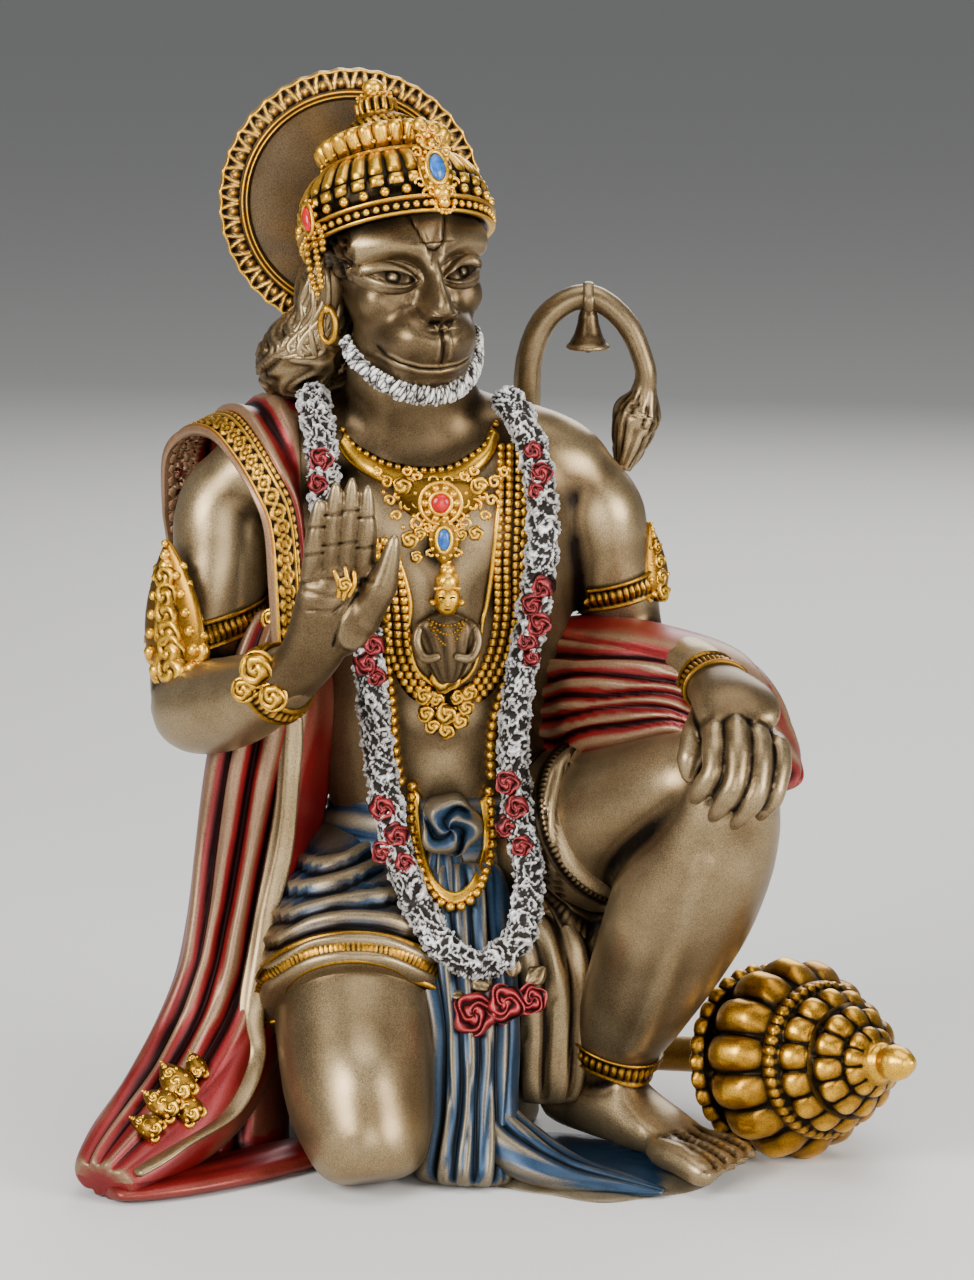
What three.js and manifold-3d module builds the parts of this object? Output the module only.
// A kneeling monkey-headed deity, cast in one piece with its crown, halo disc, shawl, garland
// and looped tail, and the mace that lies on the ground beside the left foot.
// Millimetres, +Z up, the figure faces -Y and stands on z = 0.
import * as THREE from 'three';
import { mergeVertices } from 'three/addons/utils/BufferGeometryUtils.js';
import Module from 'manifold-3d';

// Driving sizes of the figure. Its pose and carving are percentages of its height.
const HEIGHT = 180;
const CLOTH_ON_GROUND = 2;
const BELL_MOUTH = 7.4;
const BELL_HEIGHT = 6.6;

// Driving sizes of the mace, a thing of its own.
const MACE_HEAD_WIDTH = 33;
const MACE_HEAD_LENGTH = 44;
const MACE_SHAFT = 6;
const MACE_SHAFT_LENGTH = 46;
const MACE_POMMEL = 11;
const MACE_LOBES = 13;
const MACE_CLEARANCE = 1.5;

// Numbers of repeated ornaments
const HALO_PETALS = 24;
const CROWN_PILLARS = 11;

// Colours of the two castings
const BRONZE = new THREE.MeshStandardMaterial({ color: 0x5b4630, roughness: 0.4, metalness: 0.85 });
const GILT = new THREE.MeshStandardMaterial({ color: 0xb58b36, roughness: 0.4, metalness: 0.85 });

const wasm = await Module();
wasm.setup();

const { sin, cos, abs, PI, max, acos, asin, atan2, exp } = Math;
const UP = new THREE.Vector3(0, 0, 1);

// A place or a size in percent of the figure's height becomes millimetres.
function spot([x, y, z]) {
  return new THREE.Vector3(x, y, z).multiplyScalar(HEIGHT / 100);
}

function share(percent) {
  return percent * HEIGHT / 100;
}

// Moves every vertex of a closed geometry by a rule and returns it as a solid.
function reshape(geometry, move) {
  geometry.deleteAttribute('normal');
  geometry.deleteAttribute('uv');
  const merged = mergeVertices(geometry, 1e-5);
  const position = merged.attributes.position;
  const point = new THREE.Vector3();
  for (let i = 0; i < position.count; i++) {
    move(point.fromBufferAttribute(position, i));
    position.setXYZ(i, point.x, point.y, point.z);
  }
  const vertProperties = new Float32Array(position.array);
  const triVerts = new Uint32Array(merged.index.array);
  return new wasm.Manifold(new wasm.Mesh({ numProp: 3, vertProperties, triVerts }));
}

function join(solids) {
  return solids.reduce((whole, solid) => whole.add(solid));
}

// A rounded body carried along stations [x, y, z, half width, half depth] in percent. The
// width lies along the across direction, and relief(angle, along) swells it by a share.
function limb(stations, options = {}) {
  const { across = [1, 0, 0], sides = 10, steps = 10, blunt = 6, relief = () => 0, even = false } = options;
  const path = new THREE.CatmullRomCurve3(stations.map(spot));
  const halves = stations.map(([, , , wide, deep = wide]) => spot([wide, deep, 0]));
  const sizes = new THREE.CatmullRomCurve3(halves);
  const side = new THREE.Vector3(...across);
  return reshape(new THREE.SphereGeometry(1, sides, steps), (point) => {
    const angle = atan2(point.z, point.x);
    const level = THREE.MathUtils.clamp(point.y, -1, 1);
    const along = even ? acos(level) / PI : (1 - level) / 2;
    const close = max(0, 1 - abs(1 - 2 * along) ** blunt) ** (1 / blunt);
    const tangent = path.getTangent(along);
    const wide = side.clone().addScaledVector(tangent, -side.dot(tangent)).normalize();
    const deep = tangent.clone().cross(wide);
    const size = sizes.getPoint(along).multiplyScalar(close * (1 + relief(angle, along)));
    path.getPoint(along, point);
    point.addScaledVector(wide, cos(angle) * size.x).addScaledVector(deep, sin(angle) * size.y);
  });
}

// A bead, blossom or gem: an ellipsoid with its centre and half sizes in percent
function bead([x, y, z], [wide, deep, high], sides = 6, rings = 4) {
  const centre = spot([x, y, z]);
  const size = spot([wide, deep, high]);
  return reshape(new THREE.SphereGeometry(1, sides, rings), (point) => point.multiply(size).add(centre));
}

// A profile [radius, height] turned about an axis. Heights run from base towards the axis
// direction, and swell(angle, height) multiplies the radius, which makes lobes and petals.
function turned(profile, base, axis, segments, swell = () => 1) {
  const points = profile.map(([radius, height]) => new THREE.Vector2(radius, height));
  const alongY = new THREE.Vector3(0, 1, 0);
  const turn = new THREE.Quaternion().setFromUnitVectors(alongY, axis.clone().normalize());
  return reshape(new THREE.LatheGeometry(points, segments), (point) => {
    const factor = swell(atan2(point.z, point.x), point.y);
    point.x *= factor;
    point.z *= factor;
    point.applyQuaternion(turn).add(base);
  });
}

// A barrel-shaped band round a limb: centre, axis, half sizes and height in percent
function band(centre, axis, [wide, deep], high, sides = 8) {
  const reach = new THREE.Vector3(...axis).normalize().multiplyScalar(high / 2);
  const end = (sign) => {
    const { x, y, z } = new THREE.Vector3(...centre).addScaledVector(reach, sign);
    return [x, y, z, wide, deep];
  };
  return limb([end(-1), end(1)], { across: [1, 0.2, 0.3], sides, steps: 3, blunt: 5 });
}

// Trunk with the breast muscles swelling its front, and the bar of the shoulders
function trunk() {
  const chest = (angle, along) => {
    const front = max(0, -sin(angle));
    const breast = exp(-(((along - 0.6) / 0.1) ** 2)) * abs(cos(angle)) * front;
    return 0.1 * breast - 0.04 * front ** 8;
  };
  return [
    limb([
      [-4.4, 3.6, 20, 9.6, 8.2], [-4.1, 2.6, 31, 9.6, 7], [-4, 1.8, 38, 9.7, 6.6],
      [-4.4, 1.1, 46, 11.6, 7.2], [-4.9, 0.8, 54, 13.3, 8.1], [-5.7, 0.9, 60.5, 13.6, 7.4],
      [-6.6, 1.1, 65.2, 10.5, 5.8], [-7, 0.2, 69.5, 6.4, 5.3], [-7.2, -1.4, 74, 5.9, 5.6],
      [-7.3, -2.4, 78, 5.6, 5.6],
    ], { sides: 12, steps: 10, relief: chest }),
    limb([
      [-26, 1, 60.5, 4.6], [-19, 0.8, 64, 4.9], [-6.8, 1, 66.6, 4.6], [5.6, 2, 63.8, 5],
      [10.4, 2.4, 60.6, 4.6],
    ], { across: [0, 0, 1], sides: 8, steps: 8, blunt: 3 }),
  ];
}

function arms() {
  return [
    limb([
      [-24.4, 1.1, 64.6, 4.4], [-24.4, 1, 59, 4.7], [-24.6, 0.4, 53.5, 4.4], [-25.9, -0.4, 48, 4.1],
      [-27.6, -1.4, 43.8, 4.2], [-28, -2, 40.6, 3.6],
    ], { sides: 8, steps: 8, blunt: 3 }),
    limb([
      [-29.6, -0.6, 41.4, 4], [-26.8, -4.2, 41.8, 4.6], [-23, -9.2, 43.4, 4.3], [-19.6, -13.8, 45.6, 3.6],
      [-16.8, -17.4, 48, 2.9, 2.6], [-15.4, -19, 50.4, 2.4, 1.8],
    ], { across: [0, 0, 1], sides: 8, steps: 7, blunt: 3 }),
    limb([
      [8.8, 2.2, 64.6, 4.4], [9.6, 2.5, 59.5, 5], [11, 3.2, 54.5, 4.3], [12.6, 4, 49.6, 3.8],
      [14.2, 4.4, 45, 3.8],
    ], { sides: 8, steps: 7, blunt: 3 }),
    limb([
      [14, 5, 44.6, 3.6], [16.9, -2.8, 45.4, 3.7], [19.2, -9.2, 46, 3.1], [20.9, -14, 45.2, 2.8, 2.2],
    ], { sides: 7, steps: 6, blunt: 3 }),
  ];
}

// The right hand is raised with its palm to the front, the left one hangs over the knee.
// A raised finger is given by its root and tip, a resting one by knuckle, bend and tip.
function hands() {
  const finger = (stations) => limb(stations, { sides: 5, steps: 4, blunt: 3 });
  const raised = [
    [-15.4, 55.9, -14.6, 63.9], [-14, 56.3, -13.1, 65.4],
    [-12.4, 56.4, -11.8, 65.8], [-10.9, 56.1, -10.5, 65.1],
  ].map(([rootX, rootZ, tipX, tipZ]) => {
    return finger([[rootX, -19.6, rootZ - 1.4, 0.95], [tipX, -21.2, tipZ, 0.7]]);
  });
  const resting = [
    [[19.4, -17.6, 42.6, 1.2], [20.2, -23.2, 39.8, 1.1], [18.3, -21.4, 36.8, 0.8]],
    [[21.6, -18.2, 43, 1.2], [22, -23.9, 39.3, 1.1], [19.7, -22.4, 35.2, 0.8]],
    [[23.7, -18.2, 42.5, 1.2], [23.9, -23.8, 38.5, 1.1], [21.6, -22.3, 34.5, 0.8]],
    [[25.5, -17.5, 41.4, 1.2], [25.6, -22.6, 38.2, 1.1], [24, -21.3, 35, 0.8]],
  ].map(finger);
  return [
    limb([
      [-17.6, -16.8, 46.6, 2.6, 2.2], [-15.4, -18.8, 50, 2.8, 2], [-13.6, -19.9, 54.6, 3.2, 1.7],
      [-13.1, -20, 58.2, 3.1, 1.1],
    ], { sides: 8, steps: 6, blunt: 4 }),
    finger([[-13.4, -19.2, 50.4, 1.7], [-9.8, -21, 54.6, 1.35], [-8.1, -22, 60.8, 0.75]]),
    ...raised,
    limb([[20.6, -13, 45.4, 2.9, 2.1], [22, -16.8, 44.6, 3.8, 2], [22.9, -20.2, 42.6, 4.2, 1.5]],
      { sides: 8, steps: 6, blunt: 4 }),
    finger([[19.6, -15.4, 44.2, 1.3], [18.2, -18.8, 41, 1.1], [17.9, -19.5, 38.3, 0.8]]),
    ...resting,
  ];
}

// The left foot is set on the cloth in front, the right knee and toes are on the ground.
function legs() {
  const toes = [0, 1, 2, 3, 4].map((i) => limb([
    [14.8 + i, -14.4 + i * 1.1, 2.9, i ? 1 : 1.4], [19.6 + i * 1.1, -19.4 + i * 1.8, 2, i ? 0.9 : 1.2],
  ], { sides: 5, steps: 3, blunt: 2.5 }));
  return [
    limb([
      [4.4, 4.4, 26.4, 7.6], [8.8, -0.8, 29.6, 7.2], [13.6, -7.2, 33, 6.6], [18, -12.6, 36, 5.6],
      [21.6, -16.4, 37.8, 4.9],
    ], { across: [1, 0.6, 0], sides: 9, steps: 7, blunt: 4 }),
    limb([
      [22.2, -16.4, 39.2, 4.4], [21.6, -16, 36, 5.3], [20.2, -14.6, 31, 6.1], [18.2, -12.8, 25.8, 6.5, 6],
      [16.4, -10.6, 20.6, 5.7, 5.4], [14.4, -8, 15, 4.5, 4.4], [12.6, -6, 10.8, 3.7], [11.4, -5, 6.4, 3.5],
    ], { sides: 9, steps: 8, blunt: 4 }),
    limb([
      [5.4, -0.6, 3.6, 3, 2.5], [11.4, -5.6, 4.6, 3.4, 3.3], [14.6, -8.8, 3.8, 3.7, 2.7],
      [20, -14.4, 2.4, 4.3, 1.3],
    ], { across: [0.67, 0.74, 0], sides: 8, steps: 7, blunt: 3 }),
    ...toes,
    limb([
      [-12.6, 4, 23, 8], [-12.4, -2.4, 19.4, 8.2], [-12, -8.4, 14.4, 7.7], [-11.6, -14, 8.6, 7],
      [-10.8, -17.4, 4.6, 6], [-10.3, -18.8, 1, 5.2],
    ], { sides: 9, steps: 8, blunt: 5 }),
    limb([
      [-10.5, -15, 4.6, 5.2, 4.6], [-13, -2, 5.4, 5.4, 5.3], [-15, 8, 4.8, 4.2, 4.4],
      [-16, 20, 5, 3.2, 3.4],
    ], { sides: 8, steps: 5, blunt: 3.5 }),
    limb([[-16, 17, 8.6, 3, 2.8], [-16, 20, 6, 3.2, 2.8], [-16.3, 21.6, 1.6, 3.8, 2.4]],
      { sides: 7, steps: 4, blunt: 4 }),
  ];
}

// Head in its own frame of right, forward and up: turned to the figure's left and tipped.
// Each touch [right, forward, up, reach, push] pulls the face forward round one spot.
function head() {
  const turn = 0.44;
  const tip = 0.09;
  const centre = spot([-7.2, -4.4, 80.4]);
  const forward = new THREE.Vector3(sin(turn), -cos(turn), -0.04).normalize();
  const up = UP.clone().applyAxisAngle(forward, -tip);
  up.addScaledVector(forward, -up.dot(forward)).normalize();
  const right = forward.clone().cross(up);
  const place = (x, y, z) => centre.clone()
    .addScaledVector(right, share(x)).addScaledVector(forward, share(y)).addScaledVector(up, share(z));
  const inPercent = (x, y, z) => place(x, y, z).multiplyScalar(100 / HEIGHT).toArray();
  const touches = [
    [2.8, 6, 3.2, 1.9, 0.8], [-2.8, 6, 3.2, 1.9, 0.8], [2.7, 6, 1.2, 1.6, -1], [-2.7, 6, 1.2, 1.6, -1],
    [3.8, 4.6, -2.6, 2.2, 0.8], [-3.8, 4.6, -2.6, 2.2, 0.8],
  ];
  const skull = reshape(new THREE.SphereGeometry(1, 14, 11), (point) => {
    const narrow = 1 - 0.1 * max(0, -point.y);
    const own = new THREE.Vector3(point.x * 6.3 * narrow, -point.z * 6.6, point.y * 8.8);
    const base = own.clone();
    for (const [x, y, z, reach, push] of touches) {
      own.y += push * exp(-((base.distanceTo(new THREE.Vector3(x, y, z)) / reach) ** 2));
    }
    point.copy(place(own.x, own.y, own.z));
  });
  const jaw = [-1.3, -0.8, 0, 0.8, 1.3].map((sweep) => {
    const low = inPercent(5.4 * sin(sweep), 3.2 + 4.6 * cos(sweep), -7.6 + 4.6 * (1 - cos(sweep)));
    return [...low, 1.2, 0.9];
  });
  const beard = limb(jaw, { across: [0, 0, 1], sides: 5, steps: 9, even: true });
  const muzzle = limb([[...inPercent(0, 0, -4.6), 4.8, 4.2], [...inPercent(0, 9.6, -4.6), 4.2, 3.2]],
    { across: right.toArray(), sides: 9, steps: 6, blunt: 2.4 });
  const nose = limb([
    [...inPercent(0, 5, 3.4), 1.2, 1.2], [...inPercent(0, 7.2, 0.4), 1, 1.2],
    [...inPercent(0, 9.6, -2.4), 1.3, 1.1],
  ], { across: right.toArray(), sides: 5, steps: 4, blunt: 3 });
  return [skull, muzzle, nose, beard];
}

// Wavy locks that hang from under the crown, down the nape and on to the right shoulder
function hair() {
  return [0, 1, 2, 3].map((i) => {
    const sweep = -0.45 + i * 0.8;
    const x = -8.4 - 6.2 * cos(sweep);
    const y = -1 + 5.6 * sin(sweep);
    const out = -2.4 * cos(sweep);
    const wave = 0.7 * cos(i * 2.4);
    return limb([
      [x + 0.4, y, 84, 2.2], [x, y + 0.4, 79, 2.6], [x + out, y + 0.9, 75, 2.8],
      [x + out * 2 + wave, y + 0.6, 71, 2.4], [x + out * 2.4, y + 0.2, 67, 1.4],
    ], { sides: 5, steps: 6, blunt: 3 });
  });
}

// Tiered crown that leans back: brow band, gadrooned dome, lobed ring, small tier, finial,
// and the jewelled plume at its front
function crown() {
  const base = spot([-8, -3.2, 84.1]);
  const top = spot([-10.5, 2, 99.8]);
  const axis = top.sub(base);
  const tall = axis.length();
  const profile = [
    [0, 0], [8.5, 0], [8.6, 0.14], [7.8, 0.17], [7.2, 0.38], [5.9, 0.46], [5.6, 0.6],
    [3.9, 0.65], [3.6, 0.76], [1.9, 0.81], [0.9, 0.92], [0, 1],
  ].map(([radius, height]) => [share(radius), height * tall]);
  const pillars = (angle, height) => {
    const level = height / tall;
    return level > 0.15 && level < 0.62 ? 1 + 0.035 * cos(angle * CROWN_PILLARS) : 1;
  };
  const lean = axis.clone().normalize();
  const ornament = (level, out, turn, size) => {
    const outward = new THREE.Vector3(sin(turn), -cos(turn), 0);
    outward.addScaledVector(lean, -outward.dot(lean)).normalize();
    const place = base.clone().addScaledVector(axis, level).addScaledVector(outward, share(out));
    return bead(place.multiplyScalar(100 / HEIGHT).toArray(), size, 6, 3);
  };
  const front = 0.52;
  const plume = [
    ornament(0.3, 7.6, front, [1.5, 1.2, 2.4]), ornament(0.07, 8.6, front, [1.1, 1, 1.8]),
    ornament(0.12, 8.4, -1.1, [1, 1.1, 1.8]),
  ];
  return [turned(profile, base, axis, CROWN_PILLARS * 2, pillars), ...plume];
}

// Dished halo disc with looped petals round its rim
function halo() {
  const radius = share(12.1);
  const scallop = 0.016;
  const centre = new THREE.Vector3(share(-12.6), share(5.4), HEIGHT - radius * (1 + scallop));
  const axis = new THREE.Vector3(0.1, -1, 0);
  const profile = [[0, -1], [0.98, -1], [1, 0.4], [0.82, 1.3], [0.77, 0.6], [0, -0.2]]
    .map(([out, forward]) => [out * radius, share(forward)]);
  const petals = (angle, height) => 1 + (height > 0 ? scallop * cos(angle * HALO_PETALS) : 0);
  return [turned(profile, centre, axis, HALO_PETALS * 2, petals)];
}

// Tail that leaves the back of the waist, rises behind the left shoulder and loops over,
// with its tuft on the shoulder and a bell that hangs in the loop
function tail() {
  const rope = limb([
    [-3, 9.5, 27, 2.2], [-1.6, 14, 33, 2.1], [0.6, 15, 42, 1.9], [1.7, 14.4, 50, 1.7],
    [2.7, 12.2, 58.8, 1.5], [3.6, 8.9, 66.8, 1.35], [4, 7.2, 73, 1.25], [5.8, 6.7, 77, 1.2],
    [9.4, 6.7, 78.7, 1.15], [12.8, 6.2, 76.4, 1.1], [14.6, 5.6, 72.4, 1], [14.6, 5.8, 70, 1.2],
    [14, 6.1, 67.8, 2.1], [13.3, 5.6, 65.2, 1.6], [12.6, 5, 62.6, 0.7],
  ], { across: [0, 1, 0], sides: 5, steps: 22, even: true, blunt: 20 });
  const mouth = BELL_MOUTH / 2;
  const crest = spot([9.4, 6.7, 77.4]);
  const shell = [[0, -1], [1, -1], [0.92, -0.82], [0.6, -0.3], [0.45, -0.08], [0, 0.06]]
    .map(([out, up]) => [out * mouth, up * BELL_HEIGHT]);
  const clapper = crest.clone().addScaledVector(UP, -BELL_HEIGHT);
  return [
    rope,
    turned(shell, crest, UP, 8),
    reshape(new THREE.SphereGeometry(mouth * 0.28, 5, 3), (point) => point.add(clapper)),
  ];
}

// Shawl: over the right shoulder, down that side to the ground in heavy folds, across the
// back, and over the left forearm and knee
function shawl() {
  const pleats = (count, depth) => (angle, along) => (
    depth * (0.35 + along) * cos(angle * count + along * 3)
  );
  const crumple = (angle, along) => 0.07 * cos(angle * 4 + along * 2);
  return [
    limb([
      [-16.8, -7.4, 47, 3.4, 1], [-17, -7.6, 54, 3.6, 1.1], [-19.4, -5.8, 61.4, 4.8, 1.1],
      [-21.6, -2, 66, 6.2, 1], [-22.4, 2, 67.4, 7, 1], [-21, 6.4, 65, 6.6, 1.2],
      [-18.4, 8.4, 57, 6.4, 1.4], [-15.6, 9, 44, 6.2, 2],
    ], { across: [1, 0, 0.3], sides: 7, steps: 9, even: true, blunt: 12 }),
    limb([
      [-17.6, 1.4, 50, 4, 7], [-18.8, 1, 43, 5.6, 8.4], [-20, 1, 35, 5.6, 8.6],
      [-21, 0.8, 26, 5.2, 8.4], [-22, 0, 17, 4.9, 8.8], [-23.6, -2.4, 9.6, 5.4, 10],
      [-26, -6.4, 4.6, 7, 12.4], [-27.4, -8, -0.6, 8.6, 14.6],
    ], { across: [1, -0.2, 0], sides: 15, steps: 8, blunt: 14, relief: pleats(5, 0.08) }),
    limb([[-26, -11, 4, 3, 4], [-31, -17.6, 3, 3.6, 2.8], [-34.8, -22, 0.4, 3.4, 1.6]],
      { across: [1, 1, 0], sides: 8, steps: 5, blunt: 4, relief: pleats(4, 0.08) }),
    limb([
      [-15, 8.6, 43, 5, 1.8], [-9, 10.4, 40.6, 5, 1.8], [-1, 10.8, 39, 5, 1.8], [6, 8.6, 40, 5, 2],
      [10, 5, 42, 5, 2.6],
    ], { across: [0, 0, 1], sides: 7, steps: 6, even: true }),
    limb([
      [7, 4, 42.4, 5.6, 3.4], [12, 1.6, 43.6, 5.4, 5.4], [17.4, -2.8, 44, 4.8, 6.4],
      [21.6, -7.6, 43, 4.6, 6], [23.8, -10.4, 40, 4.4, 4.4], [24.6, -10.8, 35, 5.4, 2.4],
    ], { across: [0, 0, 1], sides: 9, steps: 7, relief: crumple }),
    limb([
      [23.8, -8.6, 42, 2.8, 5], [24.2, -8.6, 36, 2.5, 6], [23.4, -8.2, 29, 2.5, 5.6],
      [21.4, -6, 21, 2.5, 4.4],
    ], { sides: 7, steps: 5 }),
  ];
}

// Dhoti: sash and knot at the waist, cloth round both thighs down to the hem bands, the
// pleated fall between the legs and the cloth that it spreads under the left foot
function dhoti() {
  const creases = (angle, along) => 0.03 * cos(angle * 5 + along * 12);
  const hemmed = (angle, along) => (along > 0.8 ? 0.07 : creases(angle, along));
  const fall = (angle, along) => 0.1 * cos(angle * 6) * (0.3 + along);
  const sheet = [[0, 0], [1, 0], [0.95, 1], [0, 1]]
    .map(([out, rise]) => [out * share(11.6), rise * CLOTH_ON_GROUND]);
  const edge = (angle) => 1 + 0.16 * cos(2 * (angle + 0.5)) + 0.03 * cos(angle * 7);
  return [
    limb([
      [-4.3, 3.4, 33.8, 10.2, 8], [-4.3, 3.2, 29, 11.4, 9.2], [-4.2, 3.8, 22, 12.4, 9.6],
      [-3.8, 4.4, 15, 11.6, 8.8],
    ], { sides: 11, steps: 5, relief: creases }),
    limb([[3.4, 4.6, 26, 8.4], [7, 0.6, 28.6, 8.3], [10.2, -3.2, 30.8, 7.9], [12, -5.4, 32, 7.7]],
      { across: [1, 0.6, 0], sides: 9, steps: 5, blunt: 9, relief: hemmed }),
    limb([[-12.6, 5, 23, 9], [-12.5, -1.6, 20, 9.3], [-12.3, -6.6, 16.6, 9.1], [-12.2, -9.6, 14, 8.8]],
      { sides: 11, steps: 5, blunt: 9, relief: hemmed }),
    limb([
      [-3, -5.6, 27.4, 4.6, 2.6], [-2, -8, 21, 5.4, 3.4], [0, -10.6, 13, 6, 4.6],
      [1.6, -12.6, 6.5, 6.8, 5.6], [3.4, -14, -0.6, 8.6, 7.6],
    ], { sides: 12, steps: 5, blunt: 10, relief: fall }),
    limb([[-4, 6, 18, 9, 8], [0, 4, 9, 8, 7], [2, 2, -0.6, 8.4, 7.6]],
      { sides: 8, steps: 4, blunt: 10, relief: fall }),
    turned(sheet, spot([8.6, -10.6, 0]), UP, 15, edge),
    bead([-3.2, -6.2, 31.6], [2.5, 2, 2.5], 8, 5),
    limb([[-4, -5.8, 29.4, 1.6, 1.2], [-3.8, -8, 24.5, 2.2, 1.4], [-3.6, -9.4, 21, 2.4, 1.2]],
      { sides: 6, steps: 4 }),
  ];
}

// Twisted garland of blossom with bunches of roses, hung from the neck to the lap
function garland() {
  const rope = [
    [-16, -2.6, 71], [-15.4, -5.2, 68.8], [-14.9, -6.8, 65.4], [-14.5, -7.6, 60.6], [-13, -8, 55.4],
    [-11.2, -7.8, 50], [-10.5, -7.4, 43.6], [-9.8, -7.2, 37.2], [-8.8, -7.8, 31.8], [-7.2, -9.4, 26.6],
    [-4.4, -11.6, 21.8], [-0.6, -13, 19.8], [2.9, -12, 22.2], [3.8, -9.6, 27.2], [2.9, -7.8, 32.8],
    [2.4, -7.2, 39], [3, -7.6, 45.4], [4.2, -8, 51.6], [5, -7.9, 57.6], [4.8, -7.2, 63],
    [3.6, -5.6, 67.6], [1.4, -3.4, 71],
  ].map((point) => [...point, 1.75, 1.6]);
  const roses = [
    [-15, -8.2, 64.8], [-11.4, -9.2, 50], [-9, -9, 33], [4.6, -9.2, 50.4],
    [2.8, -9.2, 34], [5.4, -8.8, 61.2], [-1.4, -13.4, 15.6], [2.4, -13.6, 16.4],
  ].map((place) => bead(place, [1.5, 1, 1.5], 6, 3));
  const twist = (angle, along) => 0.12 * sin(angle * 2 + along * 66);
  return [
    limb(rope, { across: [1, 0.2, 0.1], sides: 5, steps: 28, even: true, blunt: 30, relief: twist }),
    ...roses,
  ];
}

// Collar, chest chain, pendants, armlets, bracelets, hem bands, belt drop and anklet
function jewellery() {
  const string = (stations, size, steps) => limb(stations.map((point) => [...point, size]),
    { across: [0, 1, 0], sides: 4, steps, even: true, blunt: 30 });
  return [
    string([
      [-13, -1.2, 69], [-11.4, -4.2, 67], [-6.4, -5.3, 65], [-1.2, -4.2, 67], [0.4, -1.2, 69.4],
    ], 1, 6),
    string([
      [-12.4, -4, 65], [-12, -6.2, 58], [-10.2, -6.2, 50], [-7.6, -5.8, 44.4], [-3.8, -5.6, 41.6],
      [-0.4, -5.8, 45.6], [1.4, -6.2, 51], [1.9, -6.2, 58], [1.4, -4, 65.4],
    ], 1.15, 10),
    bead([-4.4, -6.5, 61.4], [2.4, 1, 2.8], 6, 3),
    bead([-3.8, -7.2, 54], [1.4, 1, 3.8], 6, 3),
    bead([-3.7, -6.2, 45.4], [3, 1, 4], 6, 3),
    band([-25.6, -0.3, 49], [0.25, 0.1, -1], [4.9, 4.9], 3.4),
    bead([-29.4, -1.6, 51.4], [1.8, 2.6, 4.6], 6, 4),
    band([12, 3.7, 51.6], [0.22, 0.12, -1], [4.7, 4.7], 3),
    band([-18.4, -15.4, 46.6], [0.62, -0.62, 0.44], [3.9, 3.9], 3.4),
    band([20.4, -12.4, 45.6], [0.3, -0.9, -0.1], [3.9, 3.3], 2.6),
    band([12.2, -5.6, 9.6], [-0.3, 0.25, -0.9], [4.5, 4.5], 1.8),
  ];
}

// The mace lies with its head on the ground, pointing to the front and outwards. Its places
// follow from the head's own radius, the pommel and the clearance to the cloth by the foot.
function mace() {
  const radius = MACE_HEAD_WIDTH / 2;
  const start = -MACE_HEAD_LENGTH * 0.36;
  const rise = asin((radius - MACE_POMMEL / 2) / (MACE_SHAFT_LENGTH - start));
  const flat = new THREE.Vector3(0.62, -0.785, 0).normalize();
  const axis = flat.multiplyScalar(cos(rise)).addScaledVector(UP, sin(rise));
  const besideFoot = new THREE.Vector3(radius + MACE_CLEARANCE, radius * 0.34, radius);
  const centre = spot([18.9, -9.4, 0]).add(besideFoot);
  const head = [
    [0, -0.36], [0.42, -0.3], [0.42, -0.22], [0.86, -0.2], [0.97, -0.1], [1, 0], [0.9, 0.12], [0.76, 0.16],
    [0.72, 0.24], [0.54, 0.28], [0.5, 0.36], [0.3, 0.44], [0.14, 0.48], [0.16, 0.56], [0, 0.64],
  ].map(([out, along]) => [out * radius, along * MACE_HEAD_LENGTH]);
  const lobes = (angle, height) => {
    const wide = abs(height) < MACE_HEAD_LENGTH * 0.21;
    return wide ? 0.93 + 0.07 * abs(cos(angle * MACE_LOBES / 2)) : 1;
  };
  const shaft = MACE_SHAFT / 2;
  const handle = [[0, -MACE_SHAFT_LENGTH], [shaft, -MACE_SHAFT_LENGTH], [shaft, 0], [0, 0]]
    .map(([out, along]) => [out, start * 0.9 + along]);
  const butt = centre.clone().addScaledVector(axis, start - MACE_SHAFT_LENGTH);
  const ball = new THREE.SphereGeometry(MACE_POMMEL / 2, 8, 6);
  return join([
    turned(head, centre, axis, MACE_LOBES * 2, lobes),
    turned(handle, centre, axis, 8),
    reshape(ball, (point) => point.add(butt)),
  ]);
}

// A finished solid as a named piece of the model
function mesh(name, solid, material) {
  const { vertProperties, triVerts } = solid.getMesh();
  const geometry = new THREE.BufferGeometry();
  geometry.setAttribute('position', new THREE.BufferAttribute(vertProperties, 3));
  geometry.setIndex(new THREE.BufferAttribute(triVerts, 1));
  geometry.computeVertexNormals();
  const piece = new THREE.Mesh(geometry, material);
  piece.name = name;
  return piece;
}

// Whatever of the figure would sink below the ground is cut off flat.
const ground = reshape(new THREE.BoxGeometry(2 * HEIGHT, 2 * HEIGHT, HEIGHT), (point) => {
  point.z -= HEIGHT / 2;
});
const figure = join([
  ...trunk(), ...arms(), ...hands(), ...legs(), ...head(), ...hair(), ...crown(), ...halo(), ...tail(),
  ...shawl(), ...dhoti(), ...garland(), ...jewellery(),
]).subtract(ground);

// The origin is on the ground under the middle of the figure and its mace.
const group = new THREE.Group();
group.add(mesh('figure', figure, BRONZE));
group.add(mesh('mace', mace(), GILT));
const middle = new THREE.Box3().setFromObject(group).getCenter(new THREE.Vector3());
group.position.set(-middle.x, -middle.y, 0);

export default group;
